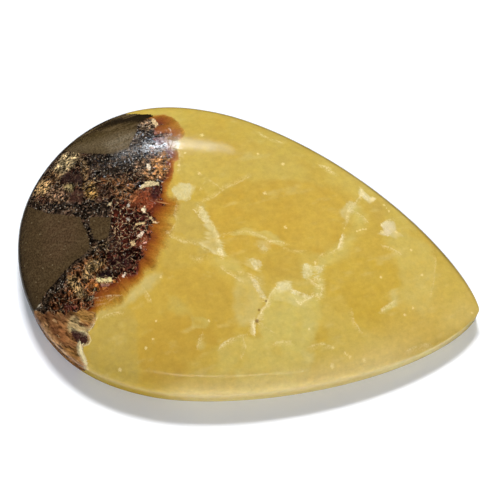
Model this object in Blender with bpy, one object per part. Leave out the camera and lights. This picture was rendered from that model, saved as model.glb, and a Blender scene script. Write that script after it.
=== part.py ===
"""A loose pear cut cabochon of septarian calcite: one polished stone with a flat back.

The stone lies on its back. +X runs along it to the point, +Y across it, and the origin is on
the back, in the middle of the stone's length and width.
"""

import math

import bmesh
import bpy

MM = 0.001

# Driving sizes of the stone
LENGTH = 45.0 * MM
WIDTH = 29.16 * MM
HEIGHT = 7.5 * MM
WALL = 2.2 * MM  # upright girdle between the back and the dome
BACK_BEVEL = 0.2 * MM  # narrow bevel that keeps the edge of the back from chipping
WIDEST = 15.95 * MM  # from the round end to the widest place

# Each stretch of the outline is half the width times (1 - t**p)**(1/q), with t from the widest
# place to that end. The two sides of the point were cut by hand and differ a little.
ROUND_END = (2.40, 1.83)
LEFT_OF_POINT = (1.68, 1.31)
RIGHT_OF_POINT = (1.535, 1.455)
RIDGE_TO_POINT = (1.61, 1.38)
EASED = 0.08  # share of a stretch over which its curve starts gently at the widest place
SHOULDER = 2.2  # exponent of the dome's section; 2 is an ellipse, more gives a flatter crown

# Fineness of the net of faces
AROUND = 112
UP_THE_DOME = 22

YELLOW_CALCITE = (0.56, 0.38, 0.09, 1.0)


def eased_power(t, p):
    """t**p from 0 to 1, but rounded off at 0, so that the polished surface has no kink there."""
    low = EASED**p
    return ((t * t + EASED**2) ** (p / 2) - low) / ((1 + EASED**2) ** (p / 2) - low)


def power_for(share, p):
    """The t at which eased_power is this share."""
    low = EASED**p
    high = (1 + EASED**2) ** (p / 2)
    return math.sqrt(max(0.0, (low + share * (high - low)) ** (2 / p) - EASED**2))


def share_of_width(x, point_side):
    """Half width of the outline at x, as a share of the widest, with x from the round end."""
    if x < WIDEST:
        t = (WIDEST - x) / WIDEST
        p, q = ROUND_END
    else:
        t = (x - WIDEST) / (LENGTH - WIDEST)
        p, q = point_side
    return max(0.0, 1.0 - eased_power(min(t, 1.0), p)) ** (1.0 / q)


def reach_of_level(level):
    """Where the level curve at this share of the dome's height starts and ends along the ridge."""
    p, q = ROUND_END
    start = WIDEST - WIDEST * power_for(1.0 - level**q, p)
    p, q = RIDGE_TO_POINT
    end = WIDEST + (LENGTH - WIDEST) * power_for(1.0 - level**q, p)
    return start, end


def on_the_dome(direction):
    """The place on the dome for a point of the unit hemisphere.

    The height of that point is the level, and its longitude is the place round the level curve.
    """
    level = min(max(direction.z, 0.0), 1.0)
    turn = math.atan2(direction.y, direction.x)
    start, end = reach_of_level(level)
    x = (start + end) / 2 + (end - start) / 2 * math.cos(turn)
    left = math.sin(turn) >= 0
    ridge = share_of_width(x, RIDGE_TO_POINT)
    half = WIDTH / 2 * share_of_width(x, LEFT_OF_POINT if left else RIGHT_OF_POINT)
    above = min(level / ridge, 1.0) if ridge > 0 else 0.0
    y = half * (1.0 - above**SHOULDER) ** (1.0 / SHOULDER)
    z = WALL + (HEIGHT - WALL) * level
    return x - LENGTH / 2, y if left else -y, z


def dome(bm):
    """The polished dome: the upper half of a sphere drawn out to the pear."""
    bmesh.ops.create_uvsphere(
        bm, u_segments=AROUND, v_segments=2 * UP_THE_DOME, radius=1.0
    )
    lower = [v for v in bm.verts if v.co.z < -0.5 / UP_THE_DOME]
    bmesh.ops.delete(bm, geom=lower, context="VERTS")
    for vert in bm.verts:
        vert.co = on_the_dome(vert.co)


def extruded_rim(bm, height, inset):
    """Carries the open rim down to this height, and draws it in by the inset."""
    rim = [edge for edge in bm.edges if edge.is_boundary]
    made = bmesh.ops.extrude_edge_only(bm, edges=rim)["geom"]
    drawn_in = 1.0 - inset / (WIDTH / 2)
    for vert in (g for g in made if isinstance(g, bmesh.types.BMVert)):
        vert.co.x *= drawn_in
        vert.co.y *= drawn_in
        vert.co.z = height


def wall_and_back(bm):
    """The upright wall, the narrow bevel under it and the flat back."""
    extruded_rim(bm, BACK_BEVEL, 0.0)
    extruded_rim(bm, 0.0, BACK_BEVEL)
    rim = [edge for edge in bm.edges if edge.is_boundary]
    bmesh.ops.contextual_create(bm, geom=rim)


def calcite():
    material = bpy.data.materials.new("calcite")
    material.use_nodes = True
    shader = material.node_tree.nodes["Principled BSDF"]
    shader.inputs["Base Color"].default_value = YELLOW_CALCITE
    shader.inputs["Roughness"].default_value = 0.12
    shader.inputs["Metallic"].default_value = 0.0
    return material


def cabochon(collection):
    mesh = bpy.data.meshes.new("pear_cabochon")
    bm = bmesh.new()
    dome(bm)
    wall_and_back(bm)
    bmesh.ops.recalc_face_normals(bm, faces=bm.faces)
    bm.to_mesh(mesh)
    bm.free()
    mesh.shade_smooth()
    mesh.set_sharp_from_angle(angle=math.radians(30))
    mesh.materials.append(calcite())
    stone = bpy.data.objects.new("pear_cabochon", mesh)
    collection.objects.link(stone)
    return stone


def main():
    for old in list(bpy.data.objects):
        bpy.data.objects.remove(old, do_unlink=True)
    collection = bpy.data.collections.new("pear_cut_calcite")
    bpy.context.scene.collection.children.link(collection)
    cabochon(collection)


main()
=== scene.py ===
import math

import bpy
import numpy as np
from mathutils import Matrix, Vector


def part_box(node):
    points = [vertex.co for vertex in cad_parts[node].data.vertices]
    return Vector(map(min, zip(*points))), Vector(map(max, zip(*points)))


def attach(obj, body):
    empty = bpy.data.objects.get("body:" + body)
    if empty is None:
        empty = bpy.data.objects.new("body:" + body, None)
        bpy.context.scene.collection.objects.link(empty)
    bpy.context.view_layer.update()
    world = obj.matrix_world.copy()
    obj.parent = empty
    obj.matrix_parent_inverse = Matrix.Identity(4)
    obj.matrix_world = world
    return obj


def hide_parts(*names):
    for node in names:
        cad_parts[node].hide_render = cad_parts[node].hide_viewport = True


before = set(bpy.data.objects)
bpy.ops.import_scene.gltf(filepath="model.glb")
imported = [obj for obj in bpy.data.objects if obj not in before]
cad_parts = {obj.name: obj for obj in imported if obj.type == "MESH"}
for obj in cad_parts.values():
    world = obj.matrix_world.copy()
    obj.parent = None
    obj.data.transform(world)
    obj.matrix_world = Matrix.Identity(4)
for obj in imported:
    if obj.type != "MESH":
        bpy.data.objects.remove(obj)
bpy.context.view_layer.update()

mm = 0.001
low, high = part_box("pear_cabochon")

# All sizes below are millimetres unless a note says otherwise

camera = {
    "azimuth": 12.67,  # degrees round the stone from straight in front
    "elevation": 68.9,  # degrees above the floor
    "aim": (-0.29, 2.04, 0.0),
    "distance": 136.55,
    "lens": 100.0,
    "sensor": 36.0,
    "photoWidth": 500.0,  # pixels
    "firstHeight": 5.0,  # where the search for the dome under a pixel starts
    "tries": 14,
}

shape = {
    "length": (high.x - low.x) / mm,
    "width": (high.y - low.y) / mm,
    "height": (high.z - low.z) / mm,
    "wall": 2.2,  # upright girdle under the dome
    "bevel": 0.2,  # rounded edge of the flat back
    "widest": 15.95,  # from the round end to the widest place
    "roundEnd": (2.40, 1.83),  # the powers p and q of each stretch of the outline
    "farPoint": (1.68, 1.31),
    "nearPoint": (1.535, 1.455),
    "ridgePoint": (1.61, 1.38),  # the crown's fall towards the point
    "eased": 0.08,  # share of a stretch over which its curve starts gently
    "shoulder": 2.2,  # power of the dome's section; 2 is an ellipse, more is squarer
    "outlineSteps": 4001,
    "around": 560,
    "domeRings": 132,
    "wallRings": 12,
    "edgeRings": 5,
    "backRings": 22,
    "backStart": 0.7,  # how far the back's first ring is moved outwards, in shares of a ring
    "crowding": 2.1,  # more puts more of the dome's rings near its rim
    "lean": (0.30, -0.22),  # how far each millimetre of depth shifts the pattern
    "drift": 0.4,  # how far each millimetre of depth lets the pattern wander
    "driftSize": 2.2,
}


def easedPower(t, power):
    # t to the power, but with t softened near 0 so that the curve starts without a kink
    start = shape["eased"] ** power
    end = (1 + shape["eased"] ** 2) ** (power / 2)
    return ((t * t + shape["eased"] ** 2) ** (power / 2) - start) / (end - start)


def widthShare(x, point):
    # (1 - t**p)**(1/q), with t from the widest place to the end that x lies towards
    fromEnd = np.clip(x + shape["length"] / 2, 0, shape["length"])
    toRound = np.clip((shape["widest"] - fromEnd) / shape["widest"], 0, 1)
    toPoint = np.clip((fromEnd - shape["widest"]) / (shape["length"] - shape["widest"]), 0, 1)
    p, q = shape["roundEnd"]
    roundShare = np.clip(1 - easedPower(toRound, p), 0, 1) ** (1 / q)
    p, q = shape[point]
    pointShare = np.clip(1 - easedPower(toPoint, p), 0, 1) ** (1 / q)
    return np.where(toRound > 0, roundShare, pointShare)


def halfWidth(x, y):
    # half the width on the side that y lies on
    share = np.where(y > 0, widthShare(x, "farPoint"), widthShare(x, "nearPoint"))
    return shape["width"] / 2 * share


def domeHeight(x, y):
    # wall + rise * ridge share * (1 - |y / half width|**m)**(1/m), the wall's height outside
    half = np.maximum(halfWidth(x, y), 1e-9)
    across = np.clip(np.abs(y) / half, 0, 1)
    section = (1 - across ** shape["shoulder"]) ** (1 / shape["shoulder"])
    rise = shape["height"] - shape["wall"]
    return shape["wall"] + rise * widthShare(x, "ridgePoint") * section


def cameraAxes():
    # unit vectors back, right and up of the camera, and the eye's place
    a = math.radians(camera["azimuth"])
    e = math.radians(camera["elevation"])
    back = np.array([math.sin(a) * math.cos(e), -math.cos(a) * math.cos(e), math.sin(e)])
    right = np.array([math.cos(a), math.sin(a), 0.0])
    up = np.cross(back, right)
    eye = np.array(camera["aim"]) + camera["distance"] * back
    return back, right, up, eye


def fromPhoto(places):
    # each pixel follows its ray down to a height; the dome's height there gives the next try
    back, right, up, eye = cameraAxes()
    places = np.array(places, float).reshape(-1, 2)
    perPixel = camera["sensor"] / camera["lens"] / camera["photoWidth"]
    middle = camera["photoWidth"] / 2
    aside, down = (places - middle).T[:, :, None] * perPixel
    ray = aside * right - down * up - back
    z = np.full(len(places), camera["firstHeight"])
    for _ in range(camera["tries"]):
        spot = eye + ((z - eye[2]) / ray[:, 2])[:, None] * ray
        z = (z + domeHeight(spot[:, 0], spot[:, 1])) / 2
    return spot[:, :2]


def insideDistance(points, line):
    # distance to a closed line, positive inside it: a ray to +x crosses it an odd number of times
    gap = np.full(len(points), 1e9)
    odd = np.zeros(len(points), bool)
    x, y = points.T
    for a, b in zip(line, np.roll(line, -1, axis=0)):
        run = b - a
        size = math.hypot(*run) + 1e-9
        t = np.clip((points - a) @ run / size**2, 0, 1)
        gap = np.minimum(gap, np.hypot(*(points - a - t[:, None] * run).T))
        if a[1] != b[1]:
            crosses = (a[1] > y) != (b[1] > y)
            odd ^= crosses & (x < (b[0] - a[0]) * (y - a[1]) / (b[1] - a[1]) + a[0])
    return np.where(odd, gap, -gap)


def noise(points, size, seed):
    # random values from -1 to 1 at the corners of cubes of this size, blended smoothly between;
    # the large numbers only stir a corner's place and the seed into a value
    cell = points / np.array(size)
    base = np.floor(cell).astype(np.int64)
    part = cell - base
    part = part * part * (3 - 2 * part)
    total = np.zeros(len(points))
    for corner in range(8):
        step = np.array([corner & 1, corner >> 1 & 1, corner >> 2])
        key = (base + step) @ np.array([73856093, 19349663, 83492791]) + seed * 97531
        key = (key ^ (key >> 13)) * 1274126177
        key = (key ^ (key >> 16)) * 668265263
        value = ((key >> 8) & 0xFFFF) / 32767.5 - 1
        total += value * np.prod(np.where(step == 1, part, 1 - part), axis=1)
    return total


def cloud(points, size, octaves, seed):
    # noise summed over sizes that halve each time, each with this much of the strength before
    weaker = 0.55
    total = np.zeros(len(points))
    strength = 1.0
    full = 0.0
    for k in range(octaves):
        total += strength * noise(points, np.array(size) / 2**k, seed + k)
        full += strength
        strength *= weaker
    return total / full


def smooth(value, start, end):
    # 0 before start, 1 after end, and an even S between
    t = np.clip((value - start) / (end - start), 0, 1)
    return t * t * (3 - 2 * t)


def colour(red, green, blue):
    # a screen colour of 0 to 255 as linear light
    c = np.array([red, green, blue]) / 255
    return np.where(c <= 0.04045, c / 12.92, ((c + 0.055) / 1.055) ** 2.4)


def outlinePoints(count):
    # points spaced evenly along the outline, from the tip round the far side and back
    turn = np.linspace(0, math.pi, shape["outlineSteps"])
    x = shape["length"] / 2 * np.cos(turn)
    far = shape["width"] / 2 * widthShare(x, "farPoint")
    near = shape["width"] / 2 * widthShare(x, "nearPoint")
    xs = np.concatenate([x, x[-2::-1]])
    ys = np.concatenate([far, -near[-2::-1]])
    run = np.concatenate([[0], np.cumsum(np.hypot(np.diff(xs), np.diff(ys)))])
    even = np.arange(count) * run[-1] / count
    return np.stack([np.interp(even, run, xs), np.interp(even, run, ys)], axis=1)


def stoneRows():
    # rows of a net from the crown out to the rim, down the wall, round the edge and to the middle
    outline = outlinePoints(shape["around"])
    crown = np.array([shape["widest"] - shape["length"] / 2, 0.0])
    rows = []
    for k in range(1, shape["domeRings"] + 1):
        share = 1 - (1 - k / shape["domeRings"]) ** shape["crowding"]
        spot = crown + share * (outline - crown)
        z = domeHeight(spot[:, 0], spot[:, 1]) if share < 1 else np.full(len(spot), shape["wall"])
        rows.append(np.column_stack([spot, z]))
    for k in range(1, shape["wallRings"] + 1):
        z = shape["wall"] - (shape["wall"] - shape["bevel"]) * k / shape["wallRings"]
        rows.append(np.column_stack([outline, np.full(len(outline), z)]))
    for k in range(1, shape["edgeRings"] + 1):
        turn = math.pi / 2 * k / shape["edgeRings"]
        drawnIn = 1 - shape["bevel"] * (1 - math.cos(turn)) / (shape["width"] / 2)
        z = shape["bevel"] * (1 - math.sin(turn))
        rows.append(np.column_stack([outline * drawnIn, np.full(len(outline), z)]))
    for k in range(1, shape["backRings"]):
        share = 1 - (k - shape["backStart"]) / shape["backRings"]
        rows.append(np.column_stack([outline * drawnIn * share, np.zeros(len(outline))]))
    return np.array(rows), crown


def netFaces(rowCount, around):
    # quads between each two rows, and a fan from a pole to the first and the last row
    k = np.arange(around)
    nextK = (k + 1) % around
    quads = []
    for row in range(rowCount - 1):
        here = row * around
        there = here + around
        quads.append(np.column_stack([here + k, there + k, there + nextK, here + nextK]))
    top = rowCount * around
    last = (rowCount - 1) * around
    topFan = np.column_stack([np.full(around, top), k, nextK])
    backFan = np.column_stack([np.full(around, top + 1), last + nextK, last + k])
    return np.concatenate(quads), np.concatenate([topFan, backFan])


def meshFrom(name, points, quads, triangles=np.zeros((0, 3), int)):
    mesh = bpy.data.meshes.new(name)
    mesh.vertices.add(len(points))
    mesh.vertices.foreach_set("co", (points * mm).ravel())
    corners = np.concatenate([quads.ravel(), triangles.ravel()])
    sides = np.concatenate([np.full(len(quads), 4), np.full(len(triangles), 3)])
    mesh.loops.add(len(corners))
    mesh.loops.foreach_set("vertex_index", corners)
    mesh.polygons.add(len(sides))
    mesh.polygons.foreach_set("loop_start", np.concatenate([[0], np.cumsum(sides)[:-1]]))
    mesh.update(calc_edges=True)
    mesh.validate()
    mesh.shade_smooth()
    return mesh


# Where the stone's regions lie, as pixels of the 500 x 500 photo. A patch blurs its edge over the
# width given, and later patches lie over earlier ones.

clay = {  # grey-brown clay of the nodule, cut through by the crystal band
    "upper": [(50, 158), (44, 140), (70, 110), (120, 100), (126, 114), (153, 115), (153, 117), (146, 119),
        (138, 125), (136, 133), (132, 141), (128, 148), (120, 152), (109, 154), (91, 154), (79, 153),
        (66, 151)],
    "lower": [(10, 200), (28, 206), (36, 210), (51, 214), (65, 215), (80, 217), (84, 226), (89, 239),
        (90, 248), (83, 255), (75, 260), (65, 271), (57, 280), (50, 288), (46, 292), (42, 299), (38, 306),
        (33, 316), (10, 330), (0, 260)],
    "wedge": [(89, 217), (99, 217), (111, 217), (110, 228), (108, 237), (101, 241), (94, 238), (90, 226)],
}

clayPatches = {  # tint, share of it, blur in mm, and its outline
    "ink": ((38, 30, 21), 0.85, 0.5, [(78, 126), (98, 112), (126, 110), (155, 112), (155, 118), (142, 122),
        (120, 124), (98, 129)]),
    # glow and the painted sheen: a paler bank painted as the highlight's reflection on the polished clay
    "glow": ((114, 98, 71), 0.85, 0.6, [(64, 152), (84, 141), (104, 134), (124, 129), (136, 130),
        (131, 142), (126, 149), (108, 153), (84, 153)]),
    "olive": ((88, 72, 40), 0.6, 0.5, [(70, 146), (90, 134), (112, 126), (134, 122), (134, 128), (112, 134),
        (90, 143)]),
    "paintedSheen": ((146, 132, 108), 0.6, 0.5, [(104, 143), (118, 136), (136, 131), (133, 141), (128, 148),
        (110, 151)]),
    "red": ((82, 62, 44), 0.5, 1.0, [(45, 215), (75, 218), (80, 240), (60, 262), (44, 262)]),
}

darkCore = [  # the crystals
    (10, 150), (55, 130), (100, 140), (135, 124), (147, 120), (152, 119), (154, 124), (154, 132),
    (156, 139), (161, 145), (166, 150), (168, 157), (167, 165), (168, 172), (166, 178), (163, 183),
    (161, 190), (158, 199), (153, 206), (152, 220), (148, 226), (149, 233), (147, 240), (143, 248),
    (142, 258), (138, 264), (139, 270), (134, 277), (118, 277), (113, 282), (104, 287), (96, 291),
    (92, 298), (93, 306), (84, 313), (74, 320), (62, 323), (50, 322), (36, 322), (5, 326),
]

rustEdge = [  # outer edge of the rust around them
    (10, 145), (60, 110), (112, 106), (126, 118), (146, 118), (155, 115), (163, 115), (171, 117),
    (178, 122), (183, 129), (185, 134), (181, 142), (178, 150), (179, 158), (174, 162), (173, 167),
    (173, 176), (170, 184), (167, 190), (167, 194), (170, 197), (178, 198), (178, 205), (177, 212),
    (174, 220), (175, 226), (171, 232), (169, 240), (169, 248), (162, 252), (161, 259), (159, 266),
    (155, 271), (147, 273), (143, 279), (136, 285), (131, 291), (125, 296), (122, 301), (116, 307),
    (108, 311), (98, 313), (92, 318), (76, 326), (60, 332), (38, 336), (5, 340),
]

rustPatches = {  # share that stays of the rust's red, green and blue, share, blur in mm, outline
    "cap": ((0.98, 0.98, 1.2), 1.0, 0.25, [(150, 112), (160, 112), (172, 114), (181, 120), (188, 130),
        (188, 138), (176, 137), (164, 136), (153, 134), (151, 124)]),
    "shoulder": ((1.04, 1.02, 1.5), 0.9, 0.3, [(150, 148), (164, 146), (178, 148), (182, 160), (178, 174),
        (168, 178), (156, 174), (150, 162)]),
    "lilac": ((0.80, 1.15, 2.5), 1.0, 0.25, [(154, 136), (166, 133), (178, 138), (182, 146), (176, 152),
        (158, 153)]),
    "redTongue": ((0.94, 0.80, 0.9), 0.8, 0.3, [(150, 196), (160, 194), (166, 202), (162, 214),
        (152, 216)]),
    "foot": ((0.84, 0.74, 0.85), 0.9, 0.35, [(92, 290), (96, 276), (112, 270), (126, 272), (134, 280),
        (126, 290), (112, 297), (98, 302), (88, 306)]),
    "amberFoot": ((0.95, 0.97, 0.9), 0.8, 0.3, [(88, 304), (112, 297), (126, 290), (130, 298), (112, 312),
        (92, 318)]),
    "redFoot": ((0.92, 0.82, 0.9), 0.7, 0.3, [(144, 242), (156, 238), (160, 250), (154, 264), (140, 268)]),
}

crispRust = [  # where the rust ends crisply in the yellow
    [(155, 108), (172, 108), (184, 114), (194, 128), (190, 138), (176, 140), (160, 134)],
    [(160, 150), (184, 148), (186, 160), (180, 176), (172, 184), (160, 180)],
]

bandMiddle = [  # the fibres stand across this line
    (150, 112), (150, 130), (152, 150), (156, 170), (158, 190), (152, 210), (148, 230), (143, 250),
    (130, 265), (112, 275), (95, 288), (78, 302), (55, 315), (30, 325),
]

bandTints = {"base": (64, 40, 28), "edge": (214, 182, 138)}

bandBase = (0.35, 0.5, 0.5)  # share of grey grains, of dark gaps between flakes, and of bright edges

bandPatches = {  # tint, share of it, blur in mm, shares of grains, gaps and edges, and its outline
    "upperBelt": ((54, 44, 35), 0.96, 0.2, (0.7, 0.35, 0.0), [(79, 155), (92, 153), (110, 153), (122, 151),
        (130, 147), (135, 134), (138, 126), (147, 120), (158, 118), (162, 128), (160, 140), (156, 152),
        (148, 162), (138, 170), (128, 172), (118, 177), (100, 177), (91, 176), (86, 170), (81, 163)]),
    "lowerBelt": ((58, 46, 36), 0.96, 0.2, (0.7, 0.3, 0.0), [(28, 203), (40, 204), (60, 203), (80, 200),
        (90, 200), (100, 201), (112, 204), (113, 222), (114, 240), (106, 250), (98, 247), (90, 242),
        (83, 224), (79, 218), (60, 217), (45, 215), (30, 212)]),
    "lowerSeam": ((50, 40, 30), 0.95, 0.15, (0.8, 0.3, 0.0), [(90, 246), (98, 252), (92, 262), (80, 270),
        (68, 282), (60, 291), (56, 302), (48, 311), (34, 314), (38, 302), (48, 288), (60, 276), (72, 262),
        (84, 252)]),
    "creamFlakes": ((196, 172, 126), 0.85, 0.25, (0.2, 0.45, 0.1), [(53, 170), (60, 157), (68, 153),
        (78, 152), (78, 160), (73, 166), (66, 172), (58, 178), (55, 175)]),
    "goldLeft": ((200, 162, 108), 0.9, 0.25, (0.0, 0.42, 0.2), [(33, 192), (38, 183), (44, 180), (51, 181),
        (51, 188), (47, 192), (41, 194), (36, 195)]),
    "brownLeft": ((104, 68, 38), 0.85, 0.2, (0.2, 0.5, 0.2), [(43, 177), (54, 170), (61, 173), (58, 184),
        (51, 184)]),
    "purpleUpper": ((50, 32, 28), 0.97, 0.1, (0.05, 0.0, 0.05), [(60, 176), (68, 170), (79, 170), (84, 177),
        (82, 184), (72, 183), (62, 184)]),
    "purpleLower": ((58, 36, 28), 0.97, 0.1, (0.0, 0.0, 0.05), [(70, 191), (80, 188), (85, 195), (81, 203),
        (70, 203)]),
    "pinkFlakes": ((158, 122, 92), 0.85, 0.2, (0.3, 0.6, 0.2), [(49, 188), (60, 186), (68, 190), (68, 200),
        (54, 202), (47, 198)]),
    "greenFlake": ((162, 144, 96), 0.9, 0.1, (0.0, 0.35, 0.3), [(63, 186), (71, 183), (74, 186), (71, 192),
        (66, 190)]),
    "goldMiddle": ((166, 128, 72), 0.9, 0.15, (0.1, 0.5, 0.2), [(84, 184), (90, 181), (96, 184), (98, 196),
        (90, 199), (85, 194)]),
    "olive": ((96, 62, 36), 0.9, 0.2, (0.25, 0.3, 0.2), [(97, 179), (112, 177), (126, 177), (135, 180),
        (135, 192), (130, 200), (116, 199), (110, 184), (99, 184)]),
    "oliveDeep": ((58, 38, 26), 0.9, 0.15, (0.1, 0.1, 0.1), [(97, 186), (108, 184), (112, 190), (110, 200),
        (98, 198)]),
    "greyFlakes": ((138, 106, 80), 0.9, 0.15, (0.5, 0.42, 0.4), [(138, 160), (148, 156), (152, 164),
        (152, 176), (142, 177), (135, 170)]),
    "sparkleTop": ((142, 114, 88), 0.9, 0.2, (0.8, 0.5, 0.6), [(142, 122), (150, 119), (158, 121),
        (159, 131), (150, 130), (141, 129)]),
    "lilac": ((112, 88, 80), 0.85, 0.2, (0.5, 0.3, 0.2), [(156, 138), (164, 134), (176, 140), (174, 150),
        (164, 152), (163, 156), (158, 161), (150, 160), (150, 148)]),
    "orangeUpper": ((190, 132, 74), 0.92, 0.2, (0.1, 0.14, 0.35), [(151, 161), (158, 156), (164, 150),
        (174, 150), (176, 160), (174, 176), (166, 180), (158, 177), (153, 172)]),
    "darkNotch": ((70, 36, 26), 0.85, 0.1, (0.3, 0.1, 0.2), [(158, 176), (167, 173), (167, 179),
        (162, 183)]),
    "garnet": ((116, 56, 32), 0.95, 0.25, (0.0, 0.0, 0.1), [(133, 196), (140, 189), (150, 187), (159, 187),
        (160, 197), (154, 204), (152, 214), (138, 210), (130, 208)]),
    "garnetEdge": ((160, 98, 60), 0.9, 0.15, (0.0, 0.1, 0.1), [(130, 194), (138, 189), (138, 199),
        (133, 204), (129, 202)]),
    "darkFacet": ((50, 24, 24), 0.97, 0.08, (0.0, 0.0, 0.1), [(150, 188), (159, 185), (160, 196),
        (156, 201), (152, 198)]),
    "redFibre": ((120, 52, 30), 0.9, 0.2, (0.0, 0.0, 0.1), [(148, 202), (160, 199), (163, 206), (158, 216),
        (150, 216)]),
    "wineLower": ((62, 26, 22), 0.95, 0.12, (0.1, 0.1, 0.4), [(131, 213), (150, 214), (151, 220),
        (140, 223), (131, 221)]),
    "mosaic": ((67, 27, 18), 0.94, 0.2, (0.25, 0.16, 0.8), [(112, 203), (128, 201), (133, 212), (132, 222),
        (146, 224), (146, 240), (140, 250), (122, 250), (110, 250), (112, 232)]),
    "redLow": ((118, 58, 35), 0.9, 0.25, (0.0, 0.05, 0.3), [(140, 238), (150, 230), (152, 242), (146, 256),
        (139, 250)]),
    "blackWine": ((52, 21, 15), 0.96, 0.2, (0.2, 0.2, 0.4), [(100, 251), (112, 252), (122, 250), (132, 247),
        (141, 251), (144, 260), (138, 264), (128, 261), (120, 270), (108, 266), (103, 258)]),
    "wineFoot": ((86, 38, 27), 0.92, 0.2, (0.0, 0.1, 0.2), [(121, 269), (130, 262), (140, 264), (144, 272),
        (136, 278), (122, 277)]),
    "brownLow": ((114, 70, 38), 0.9, 0.25, (0.2, 0.4, 0.2), [(70, 272), (84, 262), (94, 254), (106, 256),
        (106, 268), (97, 280), (94, 292), (84, 302), (70, 298), (62, 290)]),
    "goldLow": ((194, 158, 104), 0.9, 0.15, (0.2, 0.6, 0.3), [(88, 263), (96, 259), (105, 262), (99, 268),
        (92, 272), (86, 282), (82, 278), (84, 270)]),
    "goldLowLeft": ((178, 148, 98), 0.8, 0.15, (0.2, 0.62, 0.3), [(67, 278), (74, 275), (79, 281),
        (84, 289), (88, 296), (80, 297), (74, 290), (70, 284)]),
    "orangeFoot": ((146, 88, 36), 0.85, 0.2, (0.0, 0.2, 0.2), [(90, 284), (112, 282), (122, 278),
        (124, 292), (112, 298), (98, 298)]),
    "rustFoot": ((94, 52, 28), 0.85, 0.25, (0.2, 0.35, 0.3), [(58, 292), (72, 296), (82, 302), (92, 300),
        (92, 313), (76, 322), (60, 324), (46, 322), (50, 302)]),
    "wineFootLeft": ((62, 26, 26), 0.8, 0.15, (0.1, 0.1, 0.2), [(62, 304), (76, 304), (78, 310),
        (66, 312)]),
    "blackCell": ((24, 15, 17), 0.97, 0.06, (0.0, 0.0, 0.1), [(95, 277), (103, 270), (110, 270), (112, 277),
        (107, 276), (100, 279)]),
    # painted highlight: paler grey where the highlight's wing spreads over the crystals
    "paintedBloom": ((98, 86, 76), 0.85, 0.3, (0.5, 0.35, 0.1), [(127, 148), (133, 137), (139, 136), (142, 146),
        (134, 152)]),
    "paleSeam": ((124, 98, 66), 0.9, 0.1, (0.4, 0.5, 0.4), [(79, 158), (84, 157), (87, 166), (89, 178),
        (85, 181), (81, 170)]),
    "orangeLow": ((184, 132, 84), 0.9, 0.15, (0.2, 0.35, 0.4), [(143, 169), (156, 167), (161, 176),
        (155, 181), (146, 179)]),
    "darkRoot": ((42, 26, 20), 0.95, 0.12, (0.3, 0.1, 0.2), [(109, 240), (114, 237), (121, 238), (123, 246),
        (119, 252), (110, 251)]),
    "seamCrumb": ((80, 64, 46), 0.9, 0.15, (0.6, 0.4, 0.3), [(98, 241), (107, 239), (109, 250),
        (100, 251)]),
    "inkPocket": ((40, 20, 18), 0.95, 0.15, (0.2, 0.1, 0.2), [(107, 258), (116, 255), (130, 257),
        (130, 266), (121, 270), (112, 267)]),
    "lowShade": ((60, 36, 24), 0.45, 0.25, (0.2, 0.3, 0.2), [(76, 268), (88, 268), (90, 282), (84, 292),
        (76, 286)]),
    "seamFoot": ((46, 34, 26), 0.9, 0.15, (0.6, 0.3, 0.1), [(58, 284), (65, 276), (70, 279), (69, 288),
        (62, 295), (56, 300)]),
    "darkLimb": ((42, 33, 25), 0.9, 0.25, (0.2, 0.2, 0.1), [(26, 192), (30, 182), (36, 170), (44, 158),
        (54, 149), (63, 143), (68, 148), (61, 156), (54, 163), (47, 171), (41, 179), (37, 187), (33, 197)]),
}

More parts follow.
